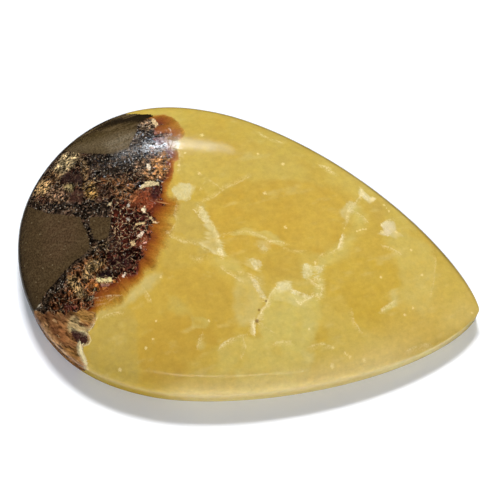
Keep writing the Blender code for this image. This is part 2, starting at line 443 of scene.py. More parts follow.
softPatches = {  # tint, share of it, blur in mm, how far it fades inwards or 0, and its outline
    "topBand": ((194, 171, 82), 0.6, 1.0, 0, [(150, 106), (200, 106), (300, 135), (370, 180), (420, 225),
        (405, 232), (360, 196), (300, 160), (240, 140), (190, 133), (160, 130)]),
    "underGlow": ((201, 178, 92), 0.45, 0.8, 0, [(186, 150), (215, 150), (250, 160), (300, 168), (330, 190),
        (300, 192), (262, 178), (235, 180), (205, 199), (192, 190), (186, 176), (176, 170), (180, 158)]),
    "deepMiddle": ((196, 161, 65), 0.75, 0.3, 0, [(205, 203), (214, 197), (224, 190), (236, 184),
        (262, 180), (290, 182), (330, 188), (345, 202), (344, 222), (336, 246), (328, 250), (318, 254),
        (300, 250), (284, 250), (262, 254), (245, 250), (232, 256), (226, 255), (222, 244), (219, 233),
        (212, 220), (207, 210)]),
    "middleRight": ((207, 176, 80), 0.55, 1.0, 0, [(296, 184), (330, 188), (348, 200), (346, 222),
        (322, 244), (300, 240)]),
    "topRight": ((210, 186, 98), 0.6, 0.8, 0, [(320, 156), (370, 182), (416, 225), (402, 236), (380, 214),
        (356, 200), (326, 180)]),
    "deepNook": ((188, 154, 62), 0.6, 0.4, 0, [(262, 262), (280, 251), (300, 252), (303, 262), (301, 280),
        (292, 281), (278, 280), (270, 284), (264, 276)]),
    "nook": ((194, 164, 69), 0.7, 0.12, 0, [(192, 190), (200, 188), (206, 196), (203, 201), (191, 202)]),
    "deepBelow": ((192, 159, 67), 0.6, 0.6, 0, [(162, 264), (190, 268), (214, 272), (232, 286), (240, 300),
        (232, 330), (212, 334), (206, 316), (190, 300), (180, 288), (164, 284), (156, 272)]),
    "deepRight": ((198, 166, 65), 0.75, 0.25, 0, [(326, 262), (340, 258), (366, 256), (388, 262),
        (398, 270), (400, 282), (394, 290), (392, 302), (384, 316), (372, 330), (356, 330), (350, 316),
        (344, 300), (330, 296), (326, 282)]),
    "deepLowRight": ((197, 166, 69), 0.6, 0.5, 0, [(398, 306), (412, 312), (426, 322), (424, 338),
        (408, 342), (384, 338), (366, 334), (376, 320), (388, 314)]),
    "deepPocket": ((195, 163, 65), 0.7, 0.3, 0, [(306, 326), (322, 324), (330, 332), (329, 342), (314, 344),
        (306, 338)]),
    "deepLow": ((191, 155, 62), 0.7, 0.4, 0, [(141, 346), (150, 326), (168, 312), (190, 314), (208, 324),
        (218, 336), (216, 345), (200, 350), (190, 364), (186, 382), (160, 388), (142, 380)]),
    "orangeTop": ((194, 163, 79), 0.6, 0.4, 0, [(366, 200), (380, 198), (388, 212), (380, 222),
        (370, 214)]),
    "tanPoint": ((199, 173, 80), 0.65, 0.12, 0, [(437, 250), (452, 262), (470, 285), (482, 312), (466, 332),
        (452, 322), (440, 300), (433, 292), (436, 275)]),
    "pinkTip": ((203, 178, 97), 0.6, 0.6, 0, [(458, 300), (476, 304), (480, 320), (458, 334), (440, 330)]),
    "cloud": ((189, 165, 88), 0.8, 0.12, 0, [(176, 206), (180, 203), (193, 203), (202, 205), (207, 211),
        (210, 219), (217, 231), (220, 242), (222, 254), (213, 253), (205, 256), (197, 259), (193, 255),
        (196, 246), (186, 240), (180, 232), (172, 232), (176, 222), (174, 214)]),
    "cloudEdge": ((226, 213, 160), 0.9, 0.08, 0.55, [(199, 208), (206, 211), (210, 219), (217, 231),
        (221, 242), (224, 256), (213, 254), (202, 250), (197, 243), (205, 238), (206, 228), (203, 218)]),
    "cloudLeft": ((192, 166, 84), 0.6, 0.4, 0, [(163, 248), (170, 234), (182, 236), (196, 246), (193, 256),
        (198, 262), (186, 268), (168, 268), (160, 262)]),
    "byRust": ((216, 200, 142), 0.9, 0.12, 0, [(171, 191), (177, 187), (182, 183), (188, 183), (193, 188),
        (192, 196), (189, 202), (182, 200), (176, 198)]),
    "wing": ((205, 188, 111), 0.6, 0.5, 0, [(213, 256), (224, 256), (236, 262), (242, 270), (232, 276),
        (220, 268), (206, 262)]),
    "puffUpper": ((222, 206, 144), 0.9, 0.2, 0.6, [(246, 258), (256, 257), (262, 264), (260, 271),
        (252, 268), (246, 264)]),
    "puffTop": ((218, 198, 134), 0.7, 0.25, 0, [(256, 246), (260, 242), (267, 244), (270, 250), (264, 253),
        (259, 249)]),
    "streak": ((212, 198, 123), 0.7, 0.12, 0.6, [(236, 231), (242, 230), (250, 230), (264, 233), (274, 238),
        (286, 241), (284, 247), (272, 244), (262, 240), (248, 235), (232, 235)]),
    "paleUnder": ((206, 188, 118), 0.7, 0.4, 0, [(238, 276), (262, 276), (264, 292), (262, 304), (254, 322),
        (240, 326), (234, 310), (236, 290)]),
    "heart": ((203, 186, 106), 0.85, 0.15, 0, [(270, 292), (277, 288), (291, 291), (303, 296), (312, 298),
        (320, 298), (320, 320), (314, 345), (300, 352), (280, 348), (264, 340), (257, 326), (262, 312)]),
    "heartTop": ((212, 197, 130), 0.8, 0.15, 0, [(272, 290), (278, 284), (291, 284), (292, 290), (304, 295),
        (313, 297), (308, 303), (302, 307), (296, 303), (288, 302), (280, 300), (273, 299)]),
    "heartCap": ((226, 212, 158), 0.85, 0.10, 0, [(278, 283), (290, 284), (289, 290), (278, 290)]),
    "lower": ((208, 190, 108), 0.75, 0.3, 0, [(243, 338), (262, 336), (300, 346), (314, 350), (312, 362),
        (304, 376), (290, 394), (240, 396), (236, 372), (242, 356)]),
    "lowerLeft": ((205, 185, 103), 0.7, 0.4, 0, [(216, 346), (232, 338), (243, 336), (242, 356), (236, 372),
        (220, 376)]),
    "smallPuff": ((204, 185, 111), 0.7, 0.25, 0, [(196, 340), (201, 337), (206, 340), (204, 347),
        (198, 348)]),
    "leftPale": ((196, 175, 94), 0.65, 0.4, 0, [(166, 296), (176, 294), (180, 302), (190, 306), (192, 312),
        (180, 314), (168, 308)]),
    "rimPale": ((202, 187, 109), 0.6, 0.12, 0.5, [(191, 316), (200, 314), (210, 320), (206, 328),
        (192, 328)]),
    "columnTop": ((206, 192, 119), 0.75, 0.2, 0, [(319, 256), (325, 256), (325, 280), (324, 297),
        (317, 297), (319, 280)]),
    "column": ((206, 191, 115), 0.65, 0.4, 0, [(300, 302), (314, 300), (316, 322), (313, 346), (302, 346),
        (300, 322)]),
    "puffLow": ((209, 194, 125), 0.7, 0.3, 0, [(301, 350), (308, 348), (315, 352), (312, 362), (303, 364)]),
    "block": ((217, 205, 147), 0.85, 0.10, 0, [(304, 264), (309, 263), (311, 268), (310, 278), (305, 279),
        (303, 272)]),
    "blockArm": ((209, 194, 125), 0.7, 0.12, 0, [(311, 265), (322, 266), (322, 271), (314, 270), (313, 277),
        (310, 277)]),
    "veilRight": ((206, 191, 111), 0.6, 0.5, 0, [(327, 250), (336, 247), (344, 238), (350, 226), (350, 206),
        (356, 204), (366, 214), (366, 226), (356, 236), (346, 252), (336, 262), (326, 262)]),
    "knot": ((216, 200, 140), 0.8, 0.15, 0, [(345, 203), (350, 200), (355, 203), (353, 210), (349, 216),
        (345, 224), (342, 216)]),
    "knotTop": ((224, 209, 156), 0.85, 0.1, 0, [(358, 189), (362, 189), (366, 194), (374, 199), (370, 202),
        (364, 199), (359, 195)]),
    "greyPuff": ((224, 209, 164), 0.9, 0.1, 0, [(381, 224), (385, 221), (390, 220), (395, 222), (399, 227),
        (398, 232), (404, 236), (396, 240), (388, 237), (381, 235), (383, 230)]),
    "paleRight": ((205, 185, 103), 0.65, 0.4, 0, [(384, 236), (404, 232), (430, 246), (436, 256),
        (435, 280), (431, 300), (424, 316), (410, 306), (398, 302), (402, 284), (398, 262), (388, 250)]),
    "sideStrip": ((210, 194, 123), 0.75, 0.2, 0, [(391, 290), (398, 287), (399, 298), (396, 306),
        (390, 308), (384, 312), (381, 309), (388, 304)]),
    "olivePale": ((190, 166, 86), 0.75, 0.25, 0, [(98, 318), (112, 312), (128, 306), (135, 312), (137, 330),
        (140, 345), (141, 360), (136, 380), (110, 386), (94, 376), (88, 360), (88, 345), (92, 332),
        (96, 326)]),
    "healedStrip": ((204, 187, 124), 0.75, 0.35, 0, [(144, 277), (151, 272), (158, 274), (155, 282),
        (146, 291), (135, 300), (123, 307), (111, 313), (100, 319), (97, 316), (108, 309), (122, 301),
        (134, 289)]),
}

brownEnd = [
    (30, 313), (38, 311), (44, 315), (49, 311), (54, 316), (60, 311), (65, 317), (70, 311), (76, 313),
    (82, 308), (88, 311), (96, 312), (96, 321), (92, 329), (88, 332), (91, 338), (89, 344), (83, 347),
    (83, 356), (87, 364), (84, 374), (30, 350),
]

brownPatches = {  # tint, share of it, blur in mm, and its outline
    "dusk": ((92, 58, 36), 0.8, 0.35, [(36, 316), (50, 310), (66, 312), (76, 312), (72, 318), (60, 322),
        (46, 322)]),
    "amber": ((172, 128, 66), 0.9, 0.25, [(72, 311), (86, 310), (96, 313), (95, 322), (88, 323), (80, 320),
        (77, 316)]),
    "greyCream": ((170, 146, 100), 0.95, 0.2, [(67, 328), (68, 320), (72, 316), (78, 317), (82, 323),
        (86, 327), (92, 328), (89, 334), (82, 335), (70, 332)]),
    "redder": ((118, 70, 40), 0.6, 0.3, [(50, 326), (60, 325), (68, 332), (66, 342), (60, 344), (54, 336)]),
    "ochreFoot": ((168, 120, 62), 0.8, 0.25, [(64, 349), (78, 346), (80, 356), (82, 366), (72, 360)]),
    "paleLimb": ((204, 160, 108), 0.55, 0.15, [(41, 320), (46, 324), (54, 336), (62, 345), (58, 347),
        (49, 338), (42, 328)]),
}

spots = [  # crisp small shapes: tint and outline
    ((66, 40, 34), [(71, 331), (74, 329), (79, 331), (85, 333), (88, 337), (88, 342), (84, 344), (78, 344),
        (76, 340), (72, 336)]),
    ((132, 100, 66), [(80, 339), (85, 338), (86, 342), (83, 344), (80, 343)]),
    ((86, 50, 30), [(77, 321), (80, 323), (86, 324), (91, 325), (90, 326), (85, 326), (80, 325)]),
    ((216, 198, 140), [(96, 279), (99, 277), (104, 279), (110, 277), (114, 281), (107, 282), (99, 282)]),
    ((150, 104, 90), [(100, 284), (108, 284), (112, 283), (107, 287), (102, 287)]),
    ((200, 180, 136), [(138, 190), (141, 186), (145, 182), (151, 181), (159, 182), (159, 185), (150, 186),
        (143, 188)]),
    ((214, 196, 168), [(146, 164), (149, 163), (151, 168), (149, 171), (147, 168)]),
    ((168, 156, 136), [(36, 306), (38, 304), (41, 304), (40, 307), (37, 308)]),
    ((226, 206, 168), [(141, 209), (145, 206), (146, 210), (145, 213), (142, 212)]),
    ((222, 198, 172), [(122, 276), (125, 272), (126, 275), (124, 278)]),
    ((214, 186, 140), [(149, 217), (151, 216), (154, 221), (159, 223), (153, 223)]),
    ((206, 178, 128), [(134, 227), (136, 223), (145, 222), (145, 224), (137, 225), (136, 229)]),
    ((228, 204, 176), [(137, 236), (141, 232), (145, 230), (144, 233), (140, 238)]),
    ((198, 168, 122), [(130, 241), (134, 240), (136, 246), (131, 245)]),
    ((216, 160, 140), [(143, 242), (147, 241), (147, 243), (143, 244)]),
    ((232, 206, 182), [(140, 246), (142, 246), (141, 249)]),
    ((184, 174, 158), [(127, 203), (130, 204), (130, 208), (127, 206)]),
    ((178, 166, 150), [(126, 218), (129, 217), (130, 221), (127, 221)]),
    ((240, 226, 178), [(216, 247), (221, 248), (224, 256), (219, 254)]),
    ((218, 204, 150), [(171, 190), (174, 186), (178, 187), (181, 183), (186, 184), (190, 183), (192, 188),
        (190, 194), (191, 199), (186, 202), (182, 199), (178, 200), (175, 195)]),
    ((222, 206, 150), [(198, 209), (202, 210), (206, 216), (209, 221), (206, 223), (201, 217)]),
    ((224, 209, 158), [(249, 259), (253, 257), (256, 260), (261, 260), (262, 266), (259, 268), (257, 272),
        (253, 267)]),
    ((216, 200, 146), [(257, 245), (262, 244), (267, 247), (268, 251), (264, 252), (260, 248)]),
    ((224, 211, 160), [(276, 289), (278, 283), (284, 282), (291, 284), (292, 289), (285, 290)]),
    ((230, 217, 166), [(292, 289), (298, 291), (306, 294), (313, 297), (309, 299), (303, 298), (296, 295),
        (291, 293)]),
    ((218, 201, 150), [(250, 278), (256, 279), (259, 284), (262, 291), (267, 297), (262, 299), (257, 291),
        (253, 285)]),
    ((220, 204, 146), [(346, 204), (350, 201), (354, 203), (353, 208), (350, 212), (347, 211)]),
    ((228, 216, 166), [(303, 267), (305, 263), (309, 264), (310, 270), (313, 271), (312, 276), (309, 276),
        (306, 281), (303, 277)]),
    ((220, 205, 148), [(315, 266), (322, 266), (323, 270), (320, 274), (318, 280), (314, 278), (318, 272)]),
    ((226, 212, 164), [(359, 189), (363, 190), (366, 195), (372, 198), (368, 201), (363, 198)]),
    ((228, 212, 170), [(381, 225), (385, 221), (389, 223), (388, 229), (393, 232), (388, 236), (382, 235),
        (384, 230)]),
    ((238, 222, 170), [(380, 224), (385, 221), (385, 225), (381, 226)]),
    ((236, 218, 160), [(370, 199), (373, 196), (376, 200), (373, 201)]),
    ((214, 186, 140), [(152, 118), (156, 120), (158, 124), (156, 128), (154, 125), (151, 121)]),
    ((180, 160, 124), [(107, 206), (109, 203), (112, 201), (112, 203), (110, 206)]),
    ((232, 216, 172), [(79, 345), (82, 345), (83, 351), (86, 358), (88, 364), (85, 366), (82, 358),
        (80, 352)]),
]

veins = [  # half width in mm, brightness, and the line, which fades out slowly to its right
    (0.10, 0.45, [(250, 176), (236, 183), (224, 189), (214, 197), (205, 201)]),
    (0.09, 0.75, [(206, 223), (201, 218), (196, 212)]),
    (0.07, 0.6, [(199, 206), (204, 210), (208, 217), (211, 223), (214, 227)]),
    (0.10, 0.85, [(214, 227), (217, 234), (220, 242), (221, 249), (223, 256)]),
    (0.09, 0.5, [(222, 256), (213, 253), (203, 248), (197, 244), (184, 242), (173, 238), (168, 232)]),
    (0.07, 0.4, [(166, 232), (172, 228), (177, 221), (174, 214), (176, 206)]),
    (0.10, 0.6, [(193, 256), (197, 259), (204, 257)]),
    (0.07, 0.35, [(222, 233), (236, 232), (250, 231)]),
    (0.09, 0.65, [(250, 231), (262, 236), (270, 241), (274, 240), (284, 243)]),
    (0.08, 0.7, [(240, 281), (231, 275), (222, 268)]),
    (0.08, 0.4, [(240, 271), (252, 275), (262, 281)]),
    (0.11, 0.9, [(258, 320), (260, 315), (262, 310), (266, 305), (268, 299), (271, 293), (276, 288)]),
    (0.10, 0.7, [(251, 277), (256, 283), (260, 291), (264, 297), (267, 300)]),
    (0.13, 1.0, [(254, 323), (253, 328), (254, 333)]),
    (0.08, 0.5, [(260, 322), (266, 327), (272, 331)]),
    (0.08, 0.6, [(278, 283), (290, 284), (291, 290), (303, 293), (313, 297)]),
    (0.09, 0.85, [(319, 296), (313, 297), (306, 300), (300, 305), (296, 300)]),
    (0.10, 0.7, [(319, 296), (322, 292), (321, 287)]),
    (0.07, 0.9, [(311, 280), (315, 283), (321, 288)]),
    (0.09, 0.6, [(309, 266), (315, 267), (322, 266)]),
    (0.10, 0.8, [(316, 279), (320, 279)]),
    (0.11, 0.95, [(339, 248), (341, 242), (342, 237)]),
    (0.10, 0.5, [(319, 258), (322, 254), (330, 252), (336, 250)]),
    (0.08, 0.25, [(284, 248), (296, 251), (304, 250)]),
    (0.09, 0.6, [(350, 209), (358, 213), (366, 220)]),
    (0.09, 0.85, [(346, 222), (347, 214), (350, 206), (354, 204)]),
    (0.09, 0.5, [(349, 210), (348, 220), (346, 226)]),
    (0.08, 0.8, [(354, 204), (358, 199), (362, 193), (360, 189)]),
    (0.07, 0.7, [(362, 193), (366, 197), (371, 199), (374, 198)]),
    (0.10, 0.5, [(178, 168), (180, 158), (179, 150)]),
    (0.12, 0.7, [(386, 222), (391, 219)]),
    (0.08, 0.45, [(384, 246), (392, 248), (399, 253)]),
    (0.07, 0.25, [(434, 250), (436, 262), (434, 280), (431, 295)]),
    (0.10, 0.65, [(408, 350), (414, 348), (421, 346), (430, 345)]),
    (0.12, 0.75, [(382, 310), (387, 306), (392, 303)]),
    (0.12, 0.8, [(220, 347), (225, 342), (232, 339)]),
    (0.09, 0.5, [(232, 339), (238, 336), (244, 335)]),
    (0.08, 0.4, [(243, 338), (246, 346), (243, 356)]),
    (0.09, 0.45, [(276, 343), (286, 341), (294, 342)]),
    (0.09, 0.5, [(198, 345), (200, 340), (201, 337)]),
    (0.08, 0.45, [(352, 312), (354, 322), (360, 330)]),
    (0.11, 0.7, [(262, 134), (268, 138)]),
    (0.09, 0.5, [(270, 139), (280, 142)]),
    (0.12, 0.7, [(322, 165), (328, 167)]),
    (0.11, 0.7, [(329, 170), (335, 173)]),
    (0.08, 0.7, [(145, 289), (148, 294), (150, 299)]),
    (0.09, 0.6, [(201, 187), (204, 183), (207, 180)]),
    (0.08, 0.3, [(200, 174), (210, 180), (222, 189)]),
    (0.09, 0.45, [(312, 346), (322, 344), (330, 346)]),
    (0.12, 1.0, [(80, 345), (81, 352), (84, 358), (86, 364)]),
    (0.05, 0.9, [(76, 329), (83, 331), (88, 334), (91, 340), (89, 345), (83, 347)]),
    (0.08, 0.85, [(97, 319), (94, 325), (91, 329)]),
    (0.06, 0.45, [(90, 299), (104, 296), (120, 295)]),
    (0.05, 0.4, [(92, 297), (95, 287), (97, 277)]),
    (0.05, 0.3, [(94, 305), (104, 303), (114, 298)]),
    (0.08, 0.6, [(71, 328), (78, 330), (84, 332)]),
    (0.08, 0.6, [(104, 316), (110, 314), (120, 312)]),
]

specks = [  # x, y and radius in pixels of bright grains
    (202, 135, 1.8), (199, 173, 1.5), (283, 164, 1.8), (258, 154, 1.4), (265, 193, 1.9), (411, 250, 1.5),
    (422, 275, 1.3), (120, 370, 1.6), (156, 321, 1.2), (153, 339, 1.2), (146, 348, 1.3), (309, 329, 1.3),
    (332, 366, 2.2), (333, 348, 1.4), (345, 353, 1.4), (350, 357, 1.5), (364, 360, 2.0), (382, 232, 1.9),
    (396, 232, 1.8), (357, 231, 1.0), (360, 230, 0.9), (363, 229, 0.9), (366, 229, 1.0), (384, 205, 1.4),
    (389, 211, 1.4), (315, 263, 1.5), (373, 198, 1.3), (179, 165, 1.4), (286, 228, 1.2), (381, 277, 1.2),
    (413, 308, 1.2), (405, 315, 1.5), (161, 277, 1.3), (256, 269, 1.1), (209, 321, 1.2), (285, 227, 1.4),
    (185, 153, 1.2), (472, 313, 1.2),
]

pits = [  # x, y and radius
    (257, 321, 1.6), (259, 310, 1.1), (266, 301, 1.0),
]

calcite = {
    "body": (199, 169, 76),
    "paler": (203, 181, 96),
    "deeper": (196, 162, 66),
    "wisp": (219, 203, 140),
    # painted shade along the far rim, and painted light on the near wall and at its foot
    "farRimPaintedShade": (110, 90, 46),
    "nearPaintedGlow": (232, 209, 142),
    "foot": (248, 228, 162),
    "mottleSize": 6.0,
    "mottleShare": 0.5,
    "wispSize": (1.6, 0.6, 1.6),
    "wispSlant": 32,  # degrees
    "wispShare": 0.25,
    "farPaintedShade": 0.10,  # how much painted shade darkens the far side
    "farRimShadeShare": 0.9,
    "nearGlowShare": 0.8,
}

brown = {
    "body": (152, 104, 62),
    "paler": (190, 144, 92),
    "deeper": (92, 56, 36),
    "streakSize": (1.4, 0.5, 1.0),
    "streakSlant": -14,  # degrees
    "palerShare": 0.5,
    "deeperShare": 0.6,
}

mud = {
    "body": (71, 56, 36),
    "streak": (94, 78, 54),
    "limb": (40, 32, 24),
    "grain": (128, 112, 84),
    "streakSize": (2.4, 0.3, 1.0),
    "streakSlant": 36,  # degrees
    "streakAndSheenShare": (0.25, 0.55),  # everywhere, and more on the far side as painted reflection
    # painted shade on the far side
    "farPaintedShade": 0.36,
    "limbShare": 0.85,
}


wander = {  # how far an edge strays, the size of its bends, and the seed of the noise
    "clay": (0.10, 0.5, 5),
    "brownEnd": (0.08, 0.5, 91),
    "brownPatches": (0.2, 0.6, 93),
    "band": (0.16, 0.8, 11),
    "bandPatches": (0.2, 0.9, 113),
    "bandPatchesFinely": (0.14, 0.4, 111),
    "rustPatches": (0.2, 0.8, 131),
    "softPatches": (0.5, 1.9, 61),
    "softPatchesFinely": (0.28, 0.7, 161),
    "spots": (0.05, 0.3, 21),
    "veins": (0.14, 0.6, 31),
}


def wandering(points, plan, edge):
    # the plan places, each shifted both ways by noise
    strays, size, seed = wander[edge]
    shift = np.column_stack([cloud(points, size, 3, draw) for draw in (seed, seed + 40)])
    return plan + strays * shift


def blended(tone, tint, share):
    return tone + share[:, None] * (colour(*tint) - tone)


def within(places, line, blur):
    # 1 inside the photo's outline and 0 outside it, over this blur to both sides
    return smooth(insideDistance(places, fromPhoto(line)), -blur, blur)


def slanted(points, degrees):
    # the points turned about the upright axis, so that streaks lie at this angle to the stone
    turn = math.radians(degrees)
    x = points[:, 0] * math.cos(turn) + points[:, 1] * math.sin(turn)
    y = points[:, 1] * math.cos(turn) - points[:, 0] * math.sin(turn)
    return np.column_stack([x, y, points[:, 2]])


def paintTone(points, plan):
    # the yellow calcite: broad mottling, each soft patch in turn, thin wisps, then painted shade on the far
    # side and along its rim, and painted light on the near wall and at its foot
    x, y, z = points.T
    tone = np.tile(colour(*calcite["body"]), (len(points), 1))
    mottle = cloud(points, calcite["mottleSize"], 4, 3)
    tone = blended(tone, calcite["paler"], calcite["mottleShare"] * smooth(mottle, 0.0, 0.5))
    tone = blended(tone, calcite["deeper"], calcite["mottleShare"] * smooth(-mottle, 0.0, 0.5))
    roam = wandering(points, wandering(points, plan, "softPatches"), "softPatchesFinely")
    patchy = 0.8 + 0.6 * cloud(points, 0.9, 3, 71)
    for tint, share, blur, fade, line in softPatches.values():
        inside = insideDistance(roam, fromPhoto(line))
        share = share * smooth(inside, -blur, blur) * patchy
        if fade:
            share = share * np.exp(-np.maximum(inside, 0) / fade)
        tone = blended(tone, tint, np.clip(share, 0, 1))
    wisps = cloud(slanted(points, calcite["wispSlant"]), calcite["wispSize"], 4, 83)
    tone = blended(tone, calcite["wisp"], calcite["wispShare"] * smooth(wisps, 0.15, 0.7))

    rise = domeHeight(x, y) - shape["wall"]
    toRim = halfWidth(x, y) - np.abs(y)
    far = smooth(y, -2, 5)
    near = (1 - far) * smooth(x, -6.5, -1.5)
    # painted shade: the far side darker
    tone = tone * (1 - calcite["farPaintedShade"] * smooth(y, 0, 12))[:, None]
    # painted shade: a dark line along the far rim
    tone = blended(tone, calcite["farRimPaintedShade"], calcite["farRimShadeShare"] * far * smooth(toRim, 0.95, 0.15))
    # painted light: the near wall paler, and lightest at its foot and at the point
    near = calcite["nearGlowShare"] * near
    tipFade = 1 - smooth(x, 13, 19) * (0.25 + 0.5 * smooth(z, 2.1, 2.5))
    tone = blended(tone, calcite["nearPaintedGlow"], near * tipFade * smooth(rise, 3.0, 0.6))
    tone = blended(tone, calcite["foot"], near * smooth(z, 0.9, 0.1))
    return blended(tone, calcite["foot"], near * smooth(x, 12, 17) * smooth(z, 2.4, 1.9))


def paintBrown(points, plan):
    # the brown end: its patches over a red brown, then streaks that run with the outline there
    tone = np.tile(colour(*brown["body"]), (len(points), 1))
    roam = wandering(points, plan, "brownPatches")
    for tint, share, blur, line in brownPatches.values():
        tone = blended(tone, tint, share * within(roam, line, blur))
    streaks = cloud(slanted(points, brown["streakSlant"]), brown["streakSize"], 3, 97)
    tone = blended(tone, brown["paler"], brown["palerShare"] * smooth(streaks, 0.1, 0.5))
    return blended(tone, brown["deeper"], brown["deeperShare"] * smooth(-streaks, 0.1, 0.5))


def paintMud(points, plan):
    # the clay: its patches with a painted reflection among them, painted shade on the far side, faint
    # streaks along the limb that crowd on the far side as painted reflection, and dark right at the limb
    x, y, z = points.T
    tone = np.tile(colour(*mud["body"]), (len(points), 1))
    for tint, share, blur, line in clayPatches.values():
        tone = blended(tone, tint, share * within(plan, line, blur))
    streaks = cloud(slanted(points, mud["streakSlant"]), mud["streakSize"], 4, 103)
    far = smooth(y, 0, 5)
    # painted shade: the far side darker
    tone = tone * (1 - mud["farPaintedShade"] * far)[:, None]
    everywhere, farther = mud["streakAndSheenShare"]
    # paler streaks: some everywhere, and more on the far side as painted reflection
    tone = blended(tone, mud["streak"], (everywhere + farther * far) * smooth(streaks, 0.0, 0.4))
    rise = domeHeight(x, y) - shape["wall"]
    return blended(tone, mud["limb"], mud["limbShare"] * smooth(rise, 2.4, 0.3))


def paintBand(points, plan):
    # the crystal band: each patch in turn over its base, and beside the tint the three textures
    tone = np.tile(colour(*bandTints["base"]), (len(points), 1))
    texture = np.tile(np.array(bandBase), (len(points), 1))
    roam = wandering(points, wandering(points, plan, "bandPatches"), "bandPatchesFinely")
    patchy = np.clip(0.95 + 0.7 * cloud(points, 0.7, 3, 119), 0, 1)
    for tint, share, blur, grains, line in bandPatches.values():
        inside = share * patchy * within(roam, line, blur + 0.1)
        tone = blended(tone, tint, inside)
        texture += inside[:, None] * (np.array(grains) - texture)
    return tone, texture


def paintRust(points, plan):
    # shares of red, green and blue that each patch leaves of the rust's own colour
    shade = np.ones((len(points), 3))
    roam = wandering(points, plan, "rustPatches")
    for keep, share, blur, line in rustPatches.values():
        inside = share * within(roam, line, blur)
        shade += inside[:, None] * (np.array(keep) - shade)
    return shade


def nearestShape(plan, shapes):
    # how deep a point lies in the nearest of the shapes, negative outside, and that shape's tint
    depth = np.full(len(plan), -1e9)
    tint = np.zeros((len(plan), 3))
    for shade, line in shapes:
        inside = insideDistance(plan, fromPhoto(line))
        deeper = inside > depth
        depth = np.where(deeper, inside, depth)
        tint = np.where(deeper[:, None], colour(*shade), tint)
    return depth, tint


farOff = 9.0  # stands for any distance that is too far to matter, in radii or half widths


def nearestMark(plan, marks):
    # offset to the nearest of the round marks, in shares of that mark's radius
    perPixel = camera["distance"] * camera["sensor"] / camera["lens"] / camera["photoWidth"]
    best = np.full(len(plan), 1e9)
    offset = np.full((len(plan), 2), farOff)
    for x, y, radius in marks:
        away = (plan - fromPhoto([(x, y)])) / (radius * perPixel)
        gap = np.hypot(*away.T)
        nearer = gap < best
        best = np.where(nearer, gap, best)
        offset = np.where(nearer[:, None], away, offset)
    return np.column_stack([np.clip(offset, -farOff, farOff), farOff * smooth(best, 3, 5)])


def nearestVein(plan):
    # signed distance to the nearest vein in shares of its half width, and its brightness near it
    best = np.full(len(plan), 1e9)
    signed = np.full(len(plan), farOff)
    bright = np.zeros(len(plan))
    for width, strength, line in veins:
        places = fromPhoto(line)
        for a, b in zip(places[:-1], places[1:]):
            run = b - a
            size = math.hypot(*run)
            t = np.clip((plan - a) @ run / size**2, 0, 1)
            away = plan - a - t[:, None] * run
            gap = np.hypot(*away.T)
            side = np.sign(run[0] * away[:, 1] - run[1] * away[:, 0])
            nearer = gap / width < best
            best = np.where(nearer, gap / width, best)
            signed = np.where(nearer, side * gap / width, signed)
            bright = np.where(nearer, strength * smooth(gap, 0.5, 0.3), bright)
    return np.clip(signed, -farOff, farOff), bright


def acrossBand(plan):
    # soft place along the band's middle line, weighted towards the nearest of its points
    parts = 5  # between each two points of the line as given
    softness = 0.4
    middle = fromPhoto(bandMiddle)
    steps = np.linspace(0, 1, parts + 1)[:-1, None]
    fine = np.concatenate([a + (b - a) * steps for a, b in zip(middle[:-1], middle[1:])])
    run = np.concatenate([[0], np.cumsum(np.hypot(*np.diff(fine, axis=0).T))])
    weights = 0.0
    total = 0.0
    for spot, done in zip(fine, run):
        share = 1 / (np.sum((plan - spot) ** 2, axis=1) + softness) ** 2
        total = total + share * done
        weights = weights + share
    return total / weights


def paintStone(points):
    # every field that the material reads, from the dome's pattern carried down through the stone
    depth = domeHeight(points[:, 0], points[:, 1]) - points[:, 2]
    drift = np.column_stack([cloud(points, shape["driftSize"], 3, seed) for seed in (51, 52)])
    plan = points[:, :2] + depth[:, None] * (np.array(shape["lean"]) + shape["drift"] * drift)
    nearClay = wandering(points, plan, "clay")
    clayDepth = np.max([insideDistance(nearClay, fromPhoto(line)) for line in clay.values()], axis=0)
    nearBrown = wandering(points, plan, "brownEnd")

    # redness: over 1 in the crystals, from 1 to 0 across the rust, and below 0 in the yellow
    nearBand = wandering(points, plan, "band")
    core = insideDistance(nearBand, fromPhoto(darkCore))
    rust = insideDistance(nearBand, fromPhoto(rustEdge))
    share = np.clip(rust / (rust - core + 1e-6), 1e-6, 1)
    crisp = np.max([within(plan, line, 0.3) for line in crispRust], axis=0)
    redness = np.where(rust > 0, share ** (1 - 0.55 * crisp), rust * (1 + crisp))
    redness = np.where(core > 0, 1 + core, redness)

    bandTone, texture = paintBand(points, plan)
    spotDepth, spotTone = nearestShape(wandering(points, plan, "spots"), spots)
    veinAcross, veinBright = nearestVein(wandering(points, plan, "veins"))
    return {
        "tone": paintTone(points, plan),
        "brownTone": paintBrown(points, plan),
        "mudTone": paintMud(points, plan),
        "bandTone": bandTone,
        "rustShade": paintRust(points, plan),
        "spotTone": spotTone,
        "clayDepth": clayDepth,
        "brownDepth": insideDistance(nearBrown, fromPhoto(brownEnd)),
        "redness": redness,
        "texture": texture,
        "fibre": np.column_stack([acrossBand(plan), redness, points[:, 2]]),
        "veinAcross": veinAcross,
        "veinBright": veinBright,
        "spotDepth": np.clip(spotDepth, -1, 1),
        "speck": nearestMark(plan, specks),
        "pit": nearestMark(plan, pits),
    }


def addAttributes(mesh, fields):
    for name, values in fields.items():
        if name.lower().endswith("tone"):
            data = mesh.attributes.new(name, "FLOAT_COLOR", "POINT")
            data.data.foreach_set("color", np.column_stack([values, np.ones(len(values))]).ravel())
        elif values.ndim == 2:
            data = mesh.attributes.new(name, "FLOAT_VECTOR", "POINT")
            data.data.foreach_set("vector", values.ravel())
        else:
            data = mesh.attributes.new(name, "FLOAT", "POINT")
            data.data.foreach_set("value", values)


